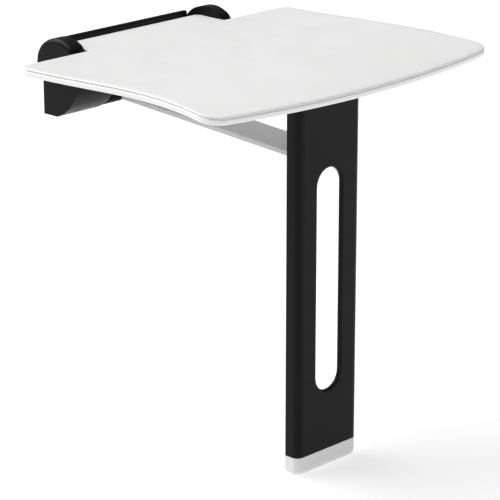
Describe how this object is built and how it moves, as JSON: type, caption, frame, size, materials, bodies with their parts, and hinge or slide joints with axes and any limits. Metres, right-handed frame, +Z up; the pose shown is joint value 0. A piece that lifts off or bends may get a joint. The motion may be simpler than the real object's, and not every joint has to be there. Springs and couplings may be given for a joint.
{
  "type": "folding wall shower seat",
  "caption": "Wall-hung folding shower seat: arched white seat plate on a black hinge bracket, with a slotted channel leg held upright by a link arm as the seat folds.",
  "frame": {"origin": "centre of the wall plate's back face, on the wall", "axes": "+Z up, +Y into the wall, -Y the way the seat reaches out, +X to the right seen from the front; the part mirrors about X = 0"},
  "size_m": [0.4624, 0.427, 0.4912],
  "materials": {
    "white_shell": "satin gloss white moulding",
    "foot_white": "satin off-white moulding",
    "link_grey": "light grey powder coat",
    "black_satin": "satin black powder coat",
    "black_moulding": "satin black moulding",
    "steel": "stainless",
    "zinc_plate": "zinc plated",
    "bush_polymer": "natural acetal",
    "rubber": "black rubber",
    "grey_rubber": "grey rubber"
  },
  "bodies": {
    "bracket": {"bracket_housing": "black_satin", "fold_buffer_left": "rubber", "fold_buffer_right": "rubber", "hinge_axle_left": "steel", "hinge_axle_right": "steel", "hinge_cheek_left": "black_moulding", "hinge_cheek_right": "black_moulding", "link_rear_pin": "steel", "link_spacer_left": "black_moulding", "link_spacer_right": "black_moulding", "upper_lip": "black_moulding", "wall_plate": "zinc_plate", "wall_screw_1": "steel", "wall_screw_2": "steel", "wall_screw_3": "steel", "wall_screw_4": "steel", "wall_washer_1": "steel", "wall_washer_2": "steel", "wall_washer_3": "steel", "wall_washer_4": "steel"},
    "seat": {"hinge_bush_inner_left": "bush_polymer", "hinge_bush_inner_right": "bush_polymer", "hinge_bush_outer_left": "bush_polymer", "hinge_bush_outer_right": "bush_polymer", "hinge_knuckle_left": "black_satin", "hinge_knuckle_right": "black_satin", "leg_hinge_block": "zinc_plate", "seat_rail_left": "zinc_plate", "seat_rail_right": "zinc_plate", "seat_screw_1": "steel", "seat_screw_2": "steel", "seat_screw_3": "steel", "seat_screw_4": "steel", "seat_screw_5": "steel", "seat_screw_6": "steel", "seat_shell": "white_shell", "thrust_washer_left": "bush_polymer", "thrust_washer_right": "bush_polymer"},
    "leg": {"foot_cap": "foot_white", "foot_screw_1": "steel", "foot_screw_2": "steel", "foot_sole": "grey_rubber", "leg_channel": "black_satin", "leg_pin": "steel", "leg_pivot_bracket": "zinc_plate", "link_front_pin": "steel"},
    "link": {"link_arm": "link_grey"}
  },
  "joints": [
    {"name": "seat_fold", "type": "hinge", "parent": "bracket", "child": "seat", "pos_m": [0, -0.032, 0.022], "axis": [-1, 0, 0], "range_deg": [0, 90]},
    {"name": "leg_fold", "type": "hinge", "parent": "seat", "child": "leg", "pos_m": [0, -0.345, 0.00395], "axis": [-1, 0, 0], "range_deg": [-90, 0]},
    {"name": "link_fold", "type": "hinge", "parent": "bracket", "child": "link", "pos_m": [0, -0.032, -0.035], "axis": [-1, 0, 0], "range_deg": [0, 90]}
  ],
  "couplings": [
    {"joint": "leg_fold", "follows": "seat_fold", "ratio": -1},
    {"joint": "link_fold", "follows": "seat_fold", "ratio": 1}
  ]
}
